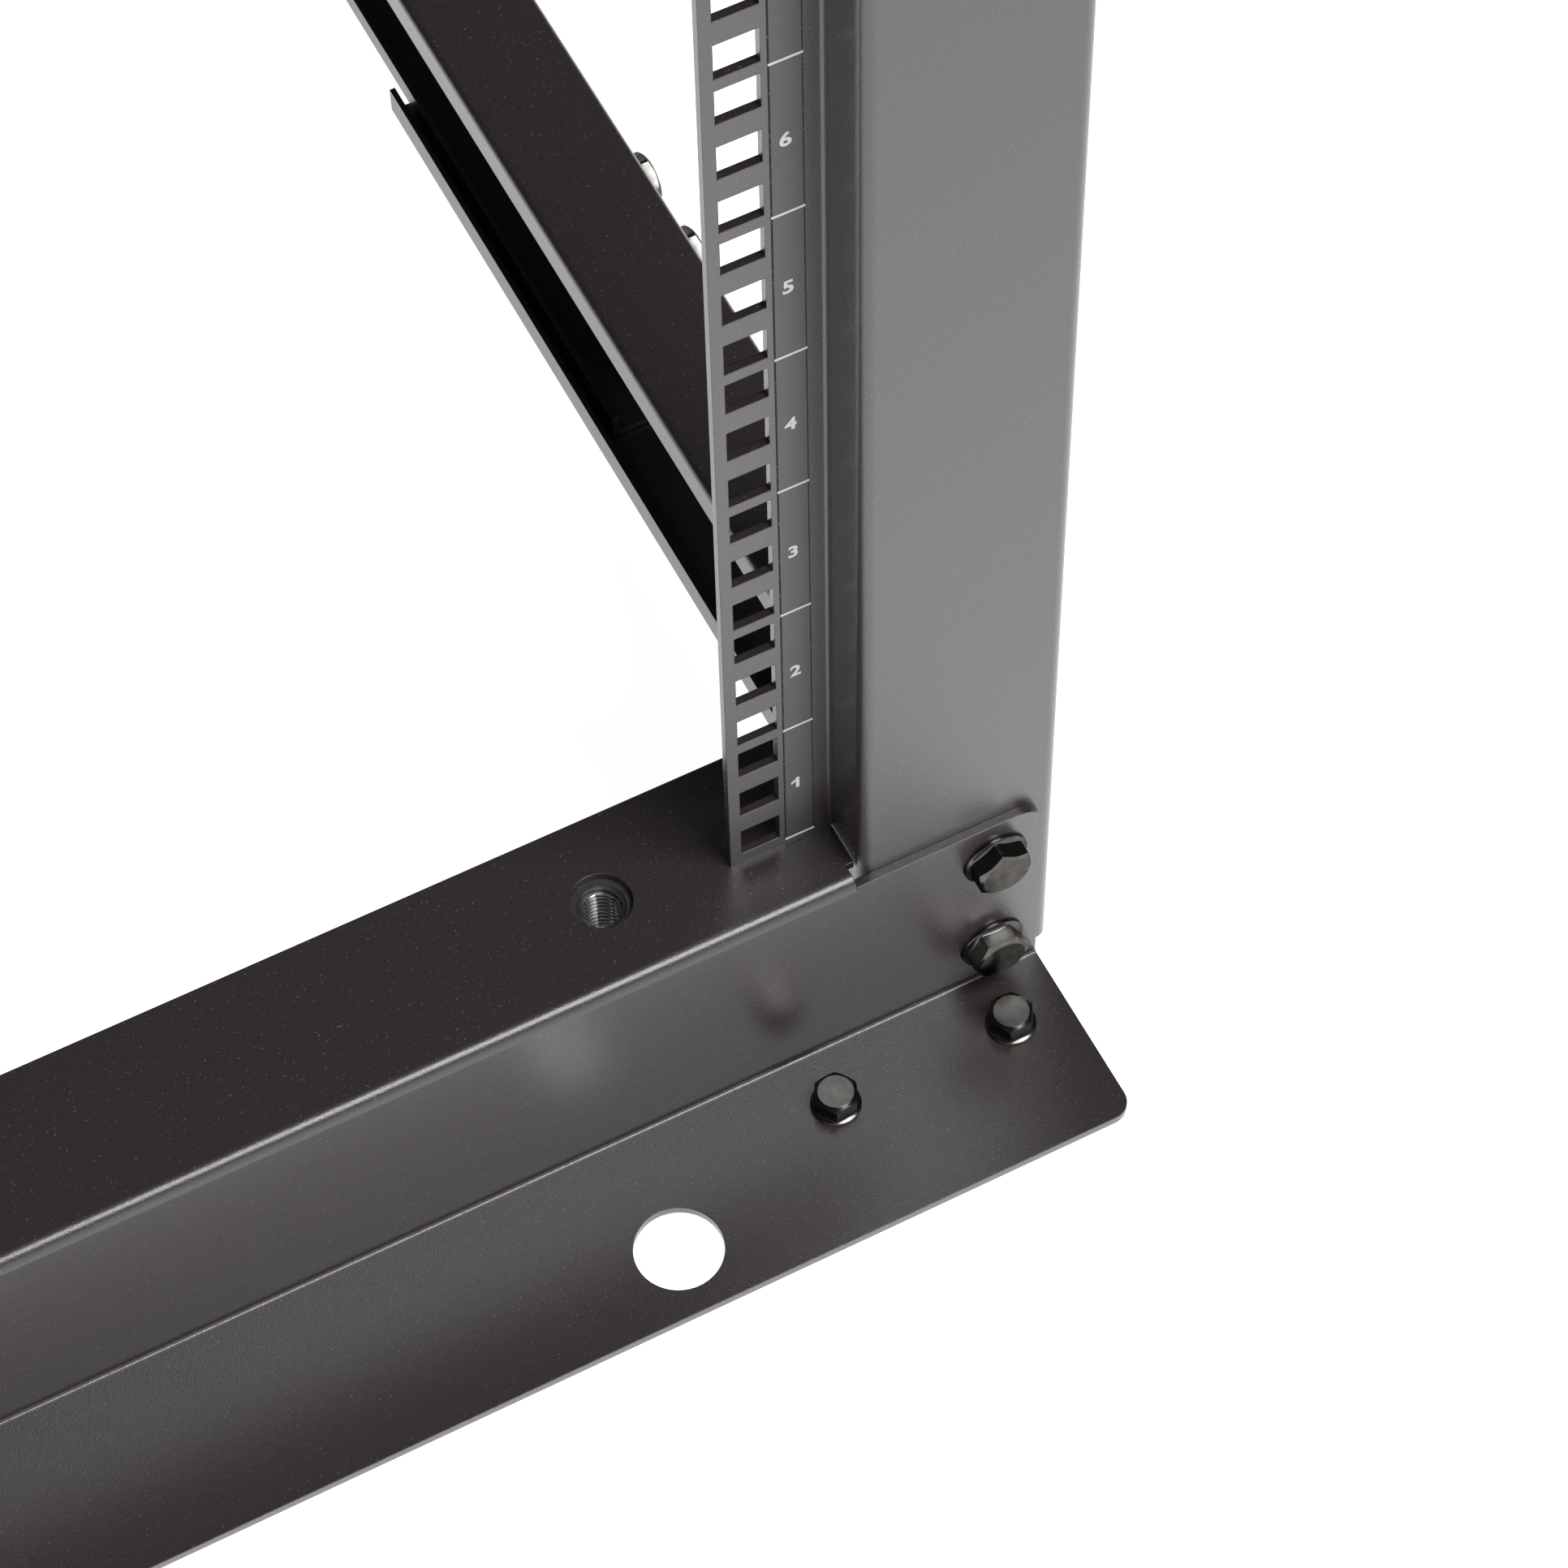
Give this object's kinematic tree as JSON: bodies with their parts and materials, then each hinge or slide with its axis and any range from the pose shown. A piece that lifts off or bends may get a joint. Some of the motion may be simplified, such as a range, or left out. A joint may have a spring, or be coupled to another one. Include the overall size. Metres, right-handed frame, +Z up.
{
  "type": "four-post open frame rack",
  "caption": "Open frame rack for 19-inch equipment: bent sheet posts with square holes, base and top beams, and side rails that slide to set the depth.",
  "frame": {"origin": "middle of the rack's footprint, on the floor", "axes": "+X to the right across the rack seen from its front, +Y from the front to the rear, +Z up"},
  "size_m": [0.6108, 0.9944, 0.6786],
  "materials": {
    "black_powder_coat": "satin black powder coat with a very fine texture",
    "black_zinc_bolt": "glossy black zinc",
    "weld_nut_steel": "coated outside, bare bright metal in the thread"
  },
  "bodies": {
    "root": {"base_beam_front": "black_powder_coat", "base_beam_rear": "black_powder_coat", "clamp_bolts_front_left": "black_zinc_bolt", "clamp_bolts_front_right": "black_zinc_bolt", "clamp_bolts_rear_left": "black_zinc_bolt", "clamp_bolts_rear_right": "black_zinc_bolt", "foot_bolts_front_left": "black_zinc_bolt", "foot_bolts_front_right": "black_zinc_bolt", "foot_bolts_rear_left": "black_zinc_bolt", "foot_bolts_rear_right": "black_zinc_bolt", "foot_plate_front_left": "black_powder_coat", "foot_plate_front_right": "black_powder_coat", "foot_plate_rear_left": "black_powder_coat", "foot_plate_rear_right": "black_powder_coat", "post_front_left": "black_powder_coat", "post_front_right": "black_powder_coat", "post_rear_left": "black_powder_coat", "post_rear_right": "black_powder_coat", "rail_bottom_front_left": "black_powder_coat", "rail_bottom_front_right": "black_powder_coat", "rail_bottom_rear_left": "black_powder_coat", "rail_bottom_rear_right": "black_powder_coat", "rail_top_front_left": "black_powder_coat", "rail_top_front_right": "black_powder_coat", "rail_top_rear_left": "black_powder_coat", "rail_top_rear_right": "black_powder_coat", "slider_bottom_left": "black_powder_coat", "slider_bottom_right": "black_powder_coat", "slider_top_left": "black_powder_coat", "slider_top_right": "black_powder_coat", "tab_bolts_front_left": "black_zinc_bolt", "tab_bolts_front_right": "black_zinc_bolt", "tab_bolts_rear_left": "black_zinc_bolt", "tab_bolts_rear_right": "black_zinc_bolt", "top_beam_front": "black_powder_coat", "top_beam_rear": "black_powder_coat", "wall_bolts_front_left": "black_zinc_bolt", "wall_bolts_front_right": "black_zinc_bolt", "wall_bolts_rear_left": "black_zinc_bolt", "wall_bolts_rear_right": "black_zinc_bolt", "weld_nut_front_left": "weld_nut_steel", "weld_nut_front_right": "weld_nut_steel", "weld_nut_rear_left": "weld_nut_steel", "weld_nut_rear_right": "weld_nut_steel"}
  },
  "joints": []
}
